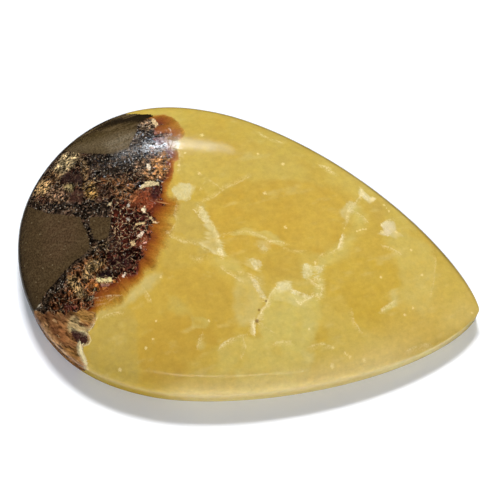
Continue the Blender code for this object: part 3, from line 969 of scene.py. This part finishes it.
def newMaterial(name):
    material = bpy.data.materials.new(name)
    material.use_nodes = True
    return material, material.node_tree, material.node_tree.nodes["Principled BSDF"]


def addNode(tree, kind, inputs=None, **settings):
    node = tree.nodes.new("ShaderNode" + kind)
    for name, value in settings.items():
        setattr(node, name, value)
    for name, value in (inputs or {}).items():
        if isinstance(value, bpy.types.NodeSocket):
            tree.links.new(value, node.inputs[name])
        else:
            node.inputs[name].default_value = value
    return node


def attribute(tree, name, output="Fac"):
    return addNode(tree, "Attribute", attribute_name=name).outputs[output]


def between(tree, value, start, end):
    # 0 at start and 1 at end, smoothly
    node = addNode(tree, "MapRange", {"Value": value, "From Min": start, "From Max": end},
                   interpolation_type="SMOOTHSTEP")
    return node.outputs["Result"]


def mixed(tree, factor, first, second):
    # first where the factor is 0 and second where it is 1; either may be a screen colour
    node = addNode(tree, "Mix", data_type="RGBA")
    for place, value in ((0, factor), (6, first), (7, second)):
        if isinstance(value, bpy.types.NodeSocket):
            tree.links.new(value, node.inputs[place])
        elif place == 0:
            node.inputs[place].default_value = value
        else:
            node.inputs[place].default_value = (*colour(*value), 1)
    return node.outputs[2]


def maths(tree, operation, first, second=0.0):
    return addNode(tree, "Math", {0: first, 1: second}, operation=operation).outputs[0]


def chained(tree, operation, parts):
    # the first part and the second, then that and the third, and so on
    result = parts[0]
    for part in parts[1:]:
        result = maths(tree, operation, result, part)
    return result


def added(tree, *parts):
    # the sum of the parts; a pair is a value and its weight
    parts = [product(tree, *part) if isinstance(part, tuple) else part for part in parts]
    return chained(tree, "ADD", parts)


def product(tree, *parts):
    return chained(tree, "MULTIPLY", parts)


def most(tree, *parts):
    return chained(tree, "MAXIMUM", parts)


def less(tree, first, second):
    return maths(tree, "SUBTRACT", first, second)


def vector(tree, operation, first, second, output=0):
    return addNode(tree, "VectorMath", {0: first, 1: second}, operation=operation).outputs[output]


def vectorLength(tree, arrow):
    return addNode(tree, "VectorMath", {0: arrow}, operation="LENGTH").outputs["Value"]


def ramp(tree, factor, stops):
    node = addNode(tree, "ValToRGB", {"Fac": factor})
    band = node.color_ramp
    band.elements[-1].position = stops[-1][0]
    band.elements[0].position = stops[0][0]
    for place, tint in stops[1:-1]:
        band.elements.new(place)
    for element, (place, tint) in zip(band.elements, stops):
        element.color = (*colour(*tint), 1)
    return node.outputs["Color"]


def perMillimetre(tree, arrow, x, y=None, z=None):
    # stretches a vector, so that a pattern repeats this many times in a millimetre each way
    scale = (x, x, x) if y is None else (x, y, z)
    return addNode(tree, "Mapping", {"Vector": arrow, "Scale": scale}).outputs["Vector"]


def rotated(tree, arrow, angle):
    # turned about the upright axis
    node = addNode(tree, "VectorRotate", {"Vector": arrow, "Angle": angle}, rotation_type="Z_AXIS")
    return node.outputs["Vector"]


def fineNoise(tree, arrow, detail=3.0, roughness=0.6):
    # from about -0.5 to 0.5
    node = addNode(tree, "TexNoise", {"Vector": arrow, "Scale": 1.0, "Detail": detail,
                                      "Roughness": roughness})
    return less(tree, node.outputs["Fac"], 0.5)


def cells(tree, arrow, feature="F1"):
    return addNode(tree, "TexVoronoi", {"Vector": arrow, "Scale": 1.0}, feature=feature)


def valuesOf(tree, found):
    # the three random numbers from 0 to 1 that the colour of each cell holds
    return addNode(tree, "SeparateColor", {"Color": found.outputs["Color"]}).outputs


def cellValues(tree, arrow):
    return valuesOf(tree, cells(tree, arrow))


def scaled(tree, tint, amount):
    # a colour made lighter or darker by this amount
    if isinstance(tint, tuple):
        tint = tuple(colour(*tint))
    return addNode(tree, "VectorMath", {0: tint, "Scale": amount}, operation="SCALE").outputs[0]


# Sizes in the looks below are how many times a pattern repeats in a millimetre; along the fibres
# they are for the ways along the band, across it and down

noiseSizes = {"ragged": 3.0, "grit": 7.0, "soft": 1.3}  # noises that many parts of the stone share

rustLook = {
    "tongueSize": (1.5, 0.9, 0.4),
    "swellSize": (0.6, 0.5, 0.5),
    "hairSize": (3.2, 0.7, 0.8),
    "reach": {"tongues": 0.06, "swell": 1.0, "hairs": 0.04, "ragged": 0.3},  # moves its edge
    "light": {"hairs": 0.85, "grit": 0.9, "ragged": 0.6, "tongues": 0.14, "base": 0.85},
    "stops": [(0.0, (194, 159, 74)), (0.12, (188, 147, 62)), (0.27, (178, 129, 48)),
              (0.42, (168, 112, 38)), (0.6, (154, 94, 32)), (0.8, (134, 72, 30)), (1.0, (102, 49, 28))],
    "thread": (214, 168, 108),
    "threadShare": 0.6,
}

crystalLook = {
    "bendSize": 1.6,
    "bend": 0.3,
    "clumpSize": 0.85,
    "crystalSize": 1.7,
    "splinterSize": (6.6, 1.9, 5.0),
    "strokeSize": (7.0, 2.5, 6.0),
    "turn": 6.3,  # radians, so that each crystal may point any way
    "power": 2.2,  # more leaves fewer splinters bright
    "splinters": 1.7,
    "strokes": 3.2,
    "base": 0.45,
    "clumps": (0.8, 0.55),  # weight and base of the light that a whole clump shares
    "crystals": (0.7, 0.65),
    "darkest": 0.06,
    "brightest": 2.8,
    "calm": (2.2, 0.4),  # contrast for each share of gaps, and without any
    "saltSize": 5.4,
    "crumb": 1.8,
    "gap": 0.16,  # light that is left in the gaps
    "edges": (1.1, 0.35),
    "saltDark": (52, 44, 38),
    "saltPale": (212, 200, 180),
    "needleSize": (3.6, 1.6, 1.0),
    "needles": 0.45,
    "tufts": 0.2,
}

yellowLook = {
    "slant": -32,  # degrees
    "streakSize": (0.8, 3.6, 1.5),
    "streaks": 0.12,
    "soft": 0.36,
    "ragged": 0.16,
    "grit": 0.14,
}

brownLook = {
    "upper": (-5.5, -3.8),  # y between which its tufted upper edge begins
    "tufts": 1.3,
    "blur": (0.2, 0.05),  # of the upper edge, added to that of the whole edge
    "slant": 13,  # degrees
    "chipSize": (1.5, 4.0, 3.0),
    "lineSize": (1.6, 5.0, 3.0),
    "chips": 0.9,
    "lines": 2.6,
    "base": 0.42,
    "fleck": (218, 182, 130),
    "fleckShare": 0.35,
}

clayLook = {"grainSize": 2.4, "siltSize": 5.6, "silt": 2.8, "grainShare": 0.85}

markLook = {
    "spots": {"strokes": 2.4, "grit": 1.2, "base": 0.92},
    "calcite": (0.25, 0.75),  # how much of that light shows in the yellow, and more in the band
    "cover": {"soft": 2.6, "ragged": 2.2, "base": 0.62, "least": 0.15},
    "vein": (236, 221, 170),
    "veinSheet": 0.5,
    "speck": (238, 219, 156),
    "speckShare": 0.75,
    "pit": (134, 100, 52),
    "pitShare": 0.8,
}

finish = {
    "roughness": 0.12,
    "refraction": 1.56,
    "specular": 0.25,
    "clear": 0.7,  # share of light that enters the yellow calcite
    "opaque": 0.65,  # and how much less enters everything else
    "scatter": (1.0, 0.85, 0.5),
    "scatterReach": 1.3,
    "glintSize": (11.0, 8.0, 9.0),
    "relief": 0.032,
}


def shared(tree):
    # places in millimetres and the noises and cells that more than one part of the stone reads
    place = addNode(tree, "Mapping", {"Vector": addNode(tree, "TexCoord").outputs["Object"],
                                      "Scale": (1 / mm,) * 3}).outputs["Vector"]
    look = crystalLook
    bend = addNode(tree, "TexNoise", {"Vector": perMillimetre(tree, place, look["bendSize"]),
                                      "Scale": 1.0, "Detail": 1.0}).outputs["Color"]
    bent = vector(tree, "ADD", place, scaled(tree, bend, look["bend"]))
    crystals = cellValues(tree, perMillimetre(tree, bent, look["crystalSize"]))
    turned = rotated(tree, bent, product(tree, crystals[0], look["turn"]))
    return {
        "place": place,
        "fibre": attribute(tree, "fibre", "Vector"),
        "ragged": fineNoise(tree, perMillimetre(tree, place, noiseSizes["ragged"])),
        "grit": fineNoise(tree, perMillimetre(tree, place, noiseSizes["grit"]), detail=2.0),
        "soft": fineNoise(tree, perMillimetre(tree, place, noiseSizes["soft"]), detail=4.0),
        "bent": bent,
        "turned": turned,
        "crystals": crystals,
        "splinters": cellValues(tree, perMillimetre(tree, turned, *look["splinterSize"])),
        "strokes": fineNoise(tree, perMillimetre(tree, turned, *look["strokeSize"]), detail=2.0),
    }


def rustColour(tree, stuff):
    # amber and dark red that reach unevenly into the yellow, with fibres across the band's edge
    fibre, ragged, grit = stuff["fibre"], stuff["ragged"], stuff["grit"]
    tongues = cellValues(tree, perMillimetre(tree, fibre, *rustLook["tongueSize"]))
    swell = fineNoise(tree, perMillimetre(tree, fibre, *rustLook["swellSize"]))
    hairs = fineNoise(tree, perMillimetre(tree, fibre, *rustLook["hairSize"]))
    reach = rustLook["reach"]
    warmth = added(tree, attribute(tree, "redness"), (less(tree, tongues[0], 0.5), reach["tongues"]),
                   (swell, reach["swell"]), (hairs, reach["hairs"]), (ragged, reach["ragged"]))
    light = rustLook["light"]
    light = added(tree, (hairs, light["hairs"]), (grit, light["grit"]), (ragged, light["ragged"]),
                  (tongues[1], light["tongues"]), light["base"])
    rust = scaled(tree, ramp(tree, warmth, rustLook["stops"]), light)
    rust = vector(tree, "MULTIPLY", rust, attribute(tree, "rustShade", "Vector"))
    threads = product(tree, between(tree, hairs, 0.13, 0.2), between(tree, warmth, 0.3, 0.6))
    rust = mixed(tree, product(tree, threads, rustLook["threadShare"]), rust, rustLook["thread"])
    return rust, warmth


def crystalLight(tree, stuff, flakeShare):
    # each crystal turns its own splinters, a few of them bright and most of them dim
    look = crystalLook
    clumps = cellValues(tree, perMillimetre(tree, stuff["bent"], look["clumpSize"]))
    few = maths(tree, "POWER", stuff["splinters"][0], look["power"])
    light = added(tree, (few, look["splinters"]), (stuff["strokes"], look["strokes"]), look["base"])
    weight, base = look["clumps"]
    light = product(tree, light, added(tree, (clumps[0], weight), base))
    weight, base = look["crystals"]
    light = product(tree, light, added(tree, (stuff["crystals"][1], weight), base))
    light = maths(tree, "MINIMUM", most(tree, light, look["darkest"]), look["brightest"])
    weight, base = look["calm"]
    calm = maths(tree, "MINIMUM", added(tree, (flakeShare, weight), base), 1.0)
    return added(tree, (less(tree, light, 1.0), calm), 1.0), calm


def bandColour(tree, stuff, rust, warmth):
    # crystals with dark gaps and bright edges between, grey grains over them, and rust around
    look = crystalLook
    texture = addNode(tree, "SeparateXYZ", {"Vector": attribute(tree, "texture", "Vector")})
    grainShare, flakeShare, edgeShare = texture.outputs
    splinters, crystals, strokes = stuff["splinters"], stuff["crystals"], stuff["strokes"]
    light, calm = crystalLight(tree, stuff, flakeShare)
    salt = cells(tree, perMillimetre(tree, stuff["bent"], look["saltSize"]))
    saltValues = valuesOf(tree, salt)
    crumb = product(tree, less(tree, saltValues[2], 0.5), look["crumb"])
    light = product(tree, light, added(tree, (crumb, calm), 1.0))
    bandTone = attribute(tree, "bandTone", "Color")
    facet = scaled(tree, bandTone, light)
    gap = scaled(tree, bandTone, product(tree, light, look["gap"]))
    closed = less(tree, added(tree, (splinters[1], 0.8), (crystals[2], 0.2)), flakeShare)
    core = mixed(tree, between(tree, closed, -0.05, 0.05), gap, facet)

    edges = cells(tree, perMillimetre(tree, stuff["bent"], look["crystalSize"]), "DISTANCE_TO_EDGE")
    edgeLight = product(tree, between(tree, edges.outputs["Distance"], 0.1, 0.03),
                        between(tree, strokes, 0.01, 0.08), edgeShare)
    weight, base = look["edges"]
    edgeTint = scaled(tree, bandTints["edge"], added(tree, (splinters[2], weight), base))
    core = mixed(tree, edgeLight, core, edgeTint)

    saltShare = less(tree, saltValues[0], product(tree, stuff["ragged"], 0.9))
    saltShare = product(tree, between(tree, saltShare, 0.4, 0.3), grainShare,
                        between(tree, salt.outputs["Distance"], 0.45, 0.2))
    saltTint = mixed(tree, saltValues[1], look["saltDark"], look["saltPale"])
    core = mixed(tree, saltShare, core, saltTint)

    needles = cellValues(tree, perMillimetre(tree, stuff["fibre"], *look["needleSize"]))
    coreReach = added(tree, warmth, (less(tree, needles[0], 0.5), look["needles"]),
                      (crystals[1], look["tufts"]))
    return mixed(tree, between(tree, coreReach, 0.98, 1.12), rust, core)


def yellowColour(tree, stuff):
    # the calcite's painted tone with faint slanting streaks
    look = yellowLook
    slant = rotated(tree, stuff["place"], math.radians(look["slant"]))
    streaks = fineNoise(tree, perMillimetre(tree, slant, *look["streakSize"]), detail=4.0)
    shimmer = added(tree, (streaks, look["streaks"]), (stuff["soft"], look["soft"]),
                    (stuff["ragged"], look["ragged"]), (stuff["grit"], look["grit"]), 1.0)
    return scaled(tree, attribute(tree, "tone", "Color"), shimmer)


def brownColour(tree, stuff):
    # the brown end with its chips and lines, how far a point is inside it, and its share there
    look = brownLook
    height = addNode(tree, "SeparateXYZ", {"Vector": stuff["place"]}).outputs["Y"]
    upper = between(tree, height, *look["upper"])
    tufts = product(tree, less(tree, stuff["splinters"][1], 0.6), upper)
    reach = added(tree, attribute(tree, "brownDepth"), (stuff["grit"], 0.4), (tufts, look["tufts"]))
    weight, base = look["blur"]
    blur = added(tree, (upper, weight), base)
    share = between(tree, reach, product(tree, blur, -1.0), blur)

    grain = rotated(tree, stuff["bent"], math.radians(look["slant"]))
    chips = cellValues(tree, perMillimetre(tree, grain, *look["chipSize"]))
    lines = fineNoise(tree, perMillimetre(tree, grain, *look["lineSize"]), detail=2.0)
    light = added(tree, (chips[0], look["chips"]), (lines, look["lines"]), look["base"])
    tone = scaled(tree, attribute(tree, "brownTone", "Color"), light)
    fleck = product(tree, between(tree, chips[1], 0.9, 0.94), between(tree, lines, -0.05, 0.05))
    tone = mixed(tree, product(tree, fleck, look["fleckShare"]), tone, look["fleck"])
    return tone, reach, share


def clayColour(tree, stuff):
    # grey-brown clay with scattered pale grains
    look = clayLook
    dots = cells(tree, perMillimetre(tree, stuff["place"], look["grainSize"]))
    silt = perMillimetre(tree, stuff["place"], look["siltSize"])
    silt = fineNoise(tree, silt, detail=2.0, roughness=0.8)
    tone = scaled(tree, attribute(tree, "mudTone", "Color"), added(tree, (silt, look["silt"]), 1.0))
    dotValues = valuesOf(tree, dots)
    dotShare = product(tree, between(tree, dots.outputs["Distance"], 0.24, 0.08),
                       between(tree, dotValues[0], 0.55, 0.9), look["grainShare"])
    return mixed(tree, dotShare, tone, mud["grain"])


def addSpots(tree, stuff, surface, warmth, brownShare):
    # the crisp small shapes: solid in the band, and broken up like frost in the yellow
    look = markLook
    spot = added(tree, attribute(tree, "spotDepth"), (stuff["grit"], 0.35))
    light, cover = look["spots"], look["cover"]
    inBand = most(tree, between(tree, warmth, -0.2, 0.4), brownShare)
    base, weight = look["calcite"]
    shown = added(tree, (stuff["strokes"], light["strokes"]), (stuff["grit"], light["grit"]))
    shown = product(tree, shown, added(tree, (inBand, weight), base))
    tint = scaled(tree, attribute(tree, "spotTone", "Color"), added(tree, shown, light["base"]))
    share = added(tree, (stuff["soft"], cover["soft"]), (stuff["ragged"], cover["ragged"]),
                  cover["base"])
    share = maths(tree, "MINIMUM", most(tree, share, most(tree, inBand, cover["least"])), 1.0)
    return mixed(tree, product(tree, between(tree, spot, -0.04, 0.05), share), surface, tint)


def addVeins(tree, stuff, surface):
    # healed cracks: a bright line, a paler sheet to its left, and both broken up along the way
    across = added(tree, attribute(tree, "veinAcross"), (stuff["ragged"], 2.4), (stuff["grit"], 2.6))
    bright = attribute(tree, "veinBright")
    sheet = product(tree, between(tree, across, -5.5, -0.3), between(tree, across, 0.6, -0.4))
    line = between(tree, maths(tree, "ABSOLUTE", across), 1.7, 0.1)
    share = product(tree, most(tree, line, product(tree, sheet, markLook["veinSheet"])), bright)
    broken = product(tree, between(tree, stuff["soft"], -0.18, 0.08),
                     between(tree, stuff["grit"], -0.2, 0.1))
    broken = most(tree, broken, between(tree, bright, 0.82, 0.98))
    return mixed(tree, product(tree, share, broken), surface, markLook["vein"])


def addSpecksAndPits(tree, stuff, surface):
    look = markLook
    reach = added(tree, vectorLength(tree, attribute(tree, "speck", "Vector")), (stuff["grit"], 3.2))
    share = product(tree, between(tree, reach, 1.3, 0.2), look["speckShare"])
    surface = mixed(tree, share, surface, look["speck"])
    reach = vectorLength(tree, attribute(tree, "pit", "Vector"))
    share = product(tree, between(tree, reach, 1.6, 0.5), look["pitShare"])
    return mixed(tree, share, surface, look["pit"])


def crystalRelief(tree, stuff, warmth, clayEdge):
    # over the crystals each splinter of the polished face tilts its own way
    share = most(tree, between(tree, warmth, 0.7, 1.1),
                 product(tree, between(tree, warmth, 0.1, 0.5), 0.55))
    share = product(tree, share, between(tree, clayEdge, 0.05, -0.04))
    place = perMillimetre(tree, stuff["turned"], *finish["glintSize"])
    glints = cells(tree, place)
    away = vector(tree, "SUBTRACT", place, glints.outputs["Position"])
    tilt = vector(tree, "SUBTRACT", glints.outputs["Color"], (0.5, 0.5, 0.5))
    slope = vector(tree, "DOT_PRODUCT", away, tilt, "Value")
    glintValues = valuesOf(tree, glints)
    slope = product(tree, slope, between(tree, glintValues[1], 0.3, 0.9), share)
    bump = addNode(tree, "Bump", {"Height": slope, "Strength": 1.0, "Distance": finish["relief"] * mm})
    return bump.outputs["Normal"]


def stoneMaterial():
    material, tree, shader = newMaterial("septarian_calcite")
    stuff = shared(tree)
    rust, warmth = rustColour(tree, stuff)
    band = bandColour(tree, stuff, rust, warmth)
    brownTone, brownReach, brownShare = brownColour(tree, stuff)
    clayEdge = added(tree, attribute(tree, "clayDepth"), (stuff["grit"], 0.35))

    surface = mixed(tree, between(tree, warmth, -0.26, 0.2), yellowColour(tree, stuff), band)
    surface = mixed(tree, brownShare, surface, brownTone)
    surface = addSpots(tree, stuff, surface, warmth, brownShare)
    surface = addVeins(tree, stuff, surface)
    surface = mixed(tree, between(tree, clayEdge, -0.04, 0.05), surface, clayColour(tree, stuff))
    surface = addSpecksAndPits(tree, stuff, surface)
    tree.links.new(surface, shader.inputs["Base Color"])

    # light enters the yellow calcite, and hardly the clay, the crystals and the brown end
    opaque = most(tree, between(tree, clayEdge, -0.1, 0.1), between(tree, brownReach, -0.1, 0.1),
                  between(tree, warmth, 0.2, 0.7))
    clear = less(tree, finish["clear"], product(tree, opaque, finish["opaque"]))
    tree.links.new(clear, shader.inputs["Subsurface Weight"])
    tree.links.new(crystalRelief(tree, stuff, warmth, clayEdge), shader.inputs["Normal"])
    shader.inputs["Roughness"].default_value = finish["roughness"]
    shader.inputs["IOR"].default_value = finish["refraction"]
    shader.inputs["Specular IOR Level"].default_value = finish["specular"]
    shader.inputs["Subsurface Radius"].default_value = finish["scatter"]
    shader.inputs["Subsurface Scale"].default_value = finish["scatterReach"] * mm
    return material


def linked(name, data):
    thing = bpy.data.objects.new(name, data)
    bpy.context.scene.collection.objects.link(thing)
    return thing


def makeStone():
    rows, crown = stoneRows()
    top = np.array([[*crown, domeHeight(crown[:1], crown[1:])[0]]])
    back = np.zeros((1, 3))
    points = np.concatenate([rows.reshape(-1, 3), top, back])
    quads, triangles = netFaces(len(rows), shape["around"])
    mesh = meshFrom("polished_stone", points, quads, triangles)
    addAttributes(mesh, paintStone(points))
    mesh.materials.append(stoneMaterial())
    stone = linked("polished_stone", mesh)
    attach(stone, "root")
    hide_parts("pear_cabochon")
    print("stone:", len(points), "points,", 2 * len(quads) + len(triangles), "triangles")


ground = {
    "side": 3000.0,
    "tint": colour(247, 249, 253),
    "glowTint": (0.86, 0.97, 1.18),
    "glow": 0.065,  # evens the ground out near the stone
    "roughness": 0.9,
    "specular": 0.1,
}

world = {"tint": (0.975, 0.99, 1.01), "strength": 0.22}  # even light that the polish doesn't mirror

lamps = {  # azimuth and elevation in degrees, from the stone; size in mm; power in watts
    "backKey": {"azimuth": 194.0, "elevation": 56.0, "away": 320.0, "size": (80.0, 30.0), "power": 1.02},
    "frontFill": {"azimuth": 12.0, "elevation": 17.0, "away": 320.0, "size": (300.0, 60.0), "power": 0.50},
    "leftPanel": {"azimuth": 280.0, "elevation": 24.0, "away": 400.0, "size": (200.0, 80.0),
                  "power": 0.05},
    "rightPanel": {"azimuth": 100.0, "elevation": 24.0, "away": 400.0, "size": (200.0, 80.0),
                   "power": 0.05},
}

mirrored = {  # lamps that are seen in the polish and light nothing else
    "highlight": {"azimuth": 201.6, "elevation": 37.3, "away": 320.0, "size": (50.0, 22.0),
                  "power": 0.138, "tint": (0.9, 0.97, 1.05)},
    "highlightWing": {"azimuth": 203.0, "elevation": 37.8, "away": 320.0, "size": (150.0, 27.0),
                      "power": 0.085},
    "highlightTail": {"azimuth": 193.0, "elevation": 34.5, "away": 320.0, "size": (104.0, 34.0),
                      "power": 0.055, "tint": (0.7, 0.95, 1.3)},
    "frontStrip": {"azimuth": 12.0, "elevation": 26.0, "away": 400.0, "size": (260.0, 16.0), "power": 0.08},
}

rimRing = {  # white ground close to the stone, which only its polish sees
    "from": 0.4,
    "to": 3.0,
    "height": 0.02,
    "around": 160,
    "strength": 0.36,
}

backdrop = {  # a very flat white cone from the lit ground outwards and a wall, which only the camera sees
    "start": 85.0,
    "foot": 1400.0,
    "height": 0.02,
    "rise": 60.0,
    "top": 1500.0,
    "around": 96,
}


def aimed(thing, place, target=(0.0, 0.0, 0.0)):
    # turns the thing's -Z towards the target
    thing.location = Vector(place) * mm
    thing.rotation_euler = (Vector(target) - Vector(place)).to_track_quat("-Z", "Y").to_euler()


def around(azimuth, elevation, away):
    # a place this far from the stone, in the direction a camera at these angles would stand
    a = math.radians(azimuth)
    e = math.radians(elevation)
    return (away * math.sin(a) * math.cos(e), -away * math.cos(a) * math.cos(e), away * math.sin(e))


def makeLamp(name, lamp, seenInPolish):
    light = bpy.data.lights.new(name, "AREA")
    light.shape = "RECTANGLE"
    light.size = lamp["size"][0] * mm
    light.size_y = lamp["size"][1] * mm
    light.energy = lamp["power"]
    light.color = lamp.get("tint", (1.0, 1.0, 1.0))
    thing = linked(name, light)
    thing.visible_camera = False
    thing.visible_glossy = seenInPolish
    thing.visible_diffuse = not seenInPolish
    aimed(thing, around(lamp["azimuth"], lamp["elevation"], lamp["away"]))


def makeGlowing(name, materialName, rows, strength):
    # a closed belt between each two rows of points that only gives light off
    rows = np.array(rows)
    k = np.arange(rows.shape[1])
    nextK = np.roll(k, -1)
    belt = np.column_stack([k, nextK, nextK + len(k), k + len(k)])
    belts = [belt + row * len(k) for row in range(len(rows) - 1)]
    mesh = meshFrom(name, rows.reshape(-1, 3), np.concatenate(belts))
    material, tree, shader = newMaterial(materialName)
    shader.inputs["Base Color"].default_value = (0, 0, 0, 1)
    shader.inputs["Emission Color"].default_value = (1, 1, 1, 1)
    shader.inputs["Emission Strength"].default_value = strength
    mesh.materials.append(material)
    thing = linked(name, mesh)
    thing.visible_diffuse = False
    thing.visible_shadow = False
    return thing


def makeRimRing():
    # the stone's outline moved outwards by two widths
    outline = outlinePoints(rimRing["around"])
    run = np.roll(outline, -1, axis=0) - np.roll(outline, 1, axis=0)
    outwards = np.column_stack([run[:, 1], -run[:, 0]]) / np.hypot(*run.T)[:, None]
    height = np.full(len(outline), rimRing["height"])
    rows = [np.column_stack([outline + rimRing[reach] * outwards, height]) for reach in ("to", "from")]
    ring = makeGlowing("rim_ring", "lit_ground", rows, rimRing["strength"])
    ring.visible_camera = False


def makeBackdrop():
    turn = np.arange(backdrop["around"]) * 2 * math.pi / backdrop["around"]
    circle = np.column_stack([np.cos(turn), np.sin(turn), np.zeros(len(turn))])
    foot = backdrop["foot"]
    rings = [(backdrop["start"], backdrop["height"]), (foot, backdrop["rise"]), (foot, backdrop["top"])]
    rows = [radius * circle + (0, 0, z) for radius, z in rings]
    wall = makeGlowing("backdrop", "white_backdrop", rows, 1.0)
    wall.visible_glossy = False
    wall.visible_transmission = False


def makeGround():
    half = ground["side"] / 2
    corners = np.array([[-half, -half, 0], [half, -half, 0], [half, half, 0], [-half, half, 0]])
    mesh = meshFrom("floor", corners, np.array([[0, 1, 2, 3]]))
    material, tree, shader = newMaterial("white_ground")
    shader.inputs["Base Color"].default_value = (*ground["tint"], 1)
    shader.inputs["Roughness"].default_value = ground["roughness"]
    shader.inputs["Specular IOR Level"].default_value = ground["specular"]
    shader.inputs["Emission Color"].default_value = (*ground["glowTint"], 1)
    shader.inputs["Emission Strength"].default_value = ground["glow"]
    mesh.materials.append(material)
    floor = linked("floor", mesh)
    floor.visible_glossy = False  # the ring stands for it in the polish


def makeWorld():
    sky = bpy.data.worlds.new("studio")
    sky.use_nodes = True
    light = sky.node_tree.nodes["Background"].inputs
    light["Color"].default_value = (*world["tint"], 1)
    light["Strength"].default_value = world["strength"]
    bpy.context.scene.world = sky
    sky.cycles_visibility.glossy = False  # the polish mirrors the lamps and the ring alone


def makeStudio():
    makeGround()
    makeWorld()
    for name, lamp in {**lamps, **mirrored}.items():
        makeLamp(name, lamp, name in mirrored)
    makeRimRing()
    makeBackdrop()
    print("studio:", len(lamps), "lamps, and", len(mirrored), "that only the polish mirrors")


def makeCamera():
    eye = cameraAxes()[-1]
    data = bpy.data.cameras.new("camera")
    data.lens = camera["lens"]
    data.sensor_width = camera["sensor"]
    data.clip_start = 0.01
    data.clip_end = 20.0
    thing = linked("camera", data)
    aimed(thing, eye, camera["aim"])
    bpy.context.scene.camera = thing
    print("camera:", camera["distance"], "mm from its aim")


bpy.context.scene.view_settings.view_transform = "Standard"
makeCamera()
makeStudio()
makeStone()
